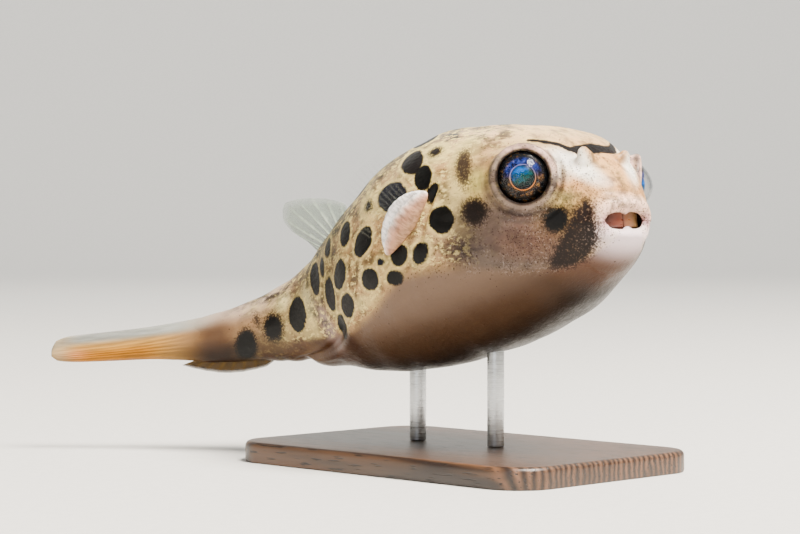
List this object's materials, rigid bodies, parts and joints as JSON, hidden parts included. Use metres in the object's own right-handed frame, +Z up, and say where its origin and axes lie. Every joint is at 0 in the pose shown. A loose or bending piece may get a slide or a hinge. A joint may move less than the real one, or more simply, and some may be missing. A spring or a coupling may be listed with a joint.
{
  "type": "pufferfish model",
  "caption": "Life-size still model of a spotted freshwater pufferfish swimming in a gentle curve, held over a flat display stand.",
  "frame": {"origin": "centre of the underside of the stand's base", "axes": "+Z up, -Y the way the fish looks, +X to the fish's left; the fish curves its tail round to its right, towards -X"},
  "size_m": [0.034, 0.0612, 0.032],
  "materials": {
    "skin": "moist satin skin, cream with black spots over a brown-pink belly",
    "tail_fin": "satin, orange-brown fin rays",
    "fin": "translucent fin membrane over fine rays",
    "eye": "polished, blue-green pupil in a gold and brown iris",
    "tooth": "satin red-brown beak plates",
    "wood": "dark stained, satin",
    "steel": "brushed"
  },
  "bodies": {
    "root": {"head": "skin", "trunk": "skin", "tail": "skin", "caudal_fin": "tail_fin", "dorsal_fin": "fin", "anal_fin": "tail_fin", "pectoral_fin_right": "fin", "pectoral_fin_left": "fin", "eye_right": "eye", "eye_left": "eye", "upper_teeth": "tooth", "lower_teeth": "tooth", "stand_base": "wood", "stand_rod_front": "steel", "stand_rod_rear": "steel"}
  },
  "joints": []
}
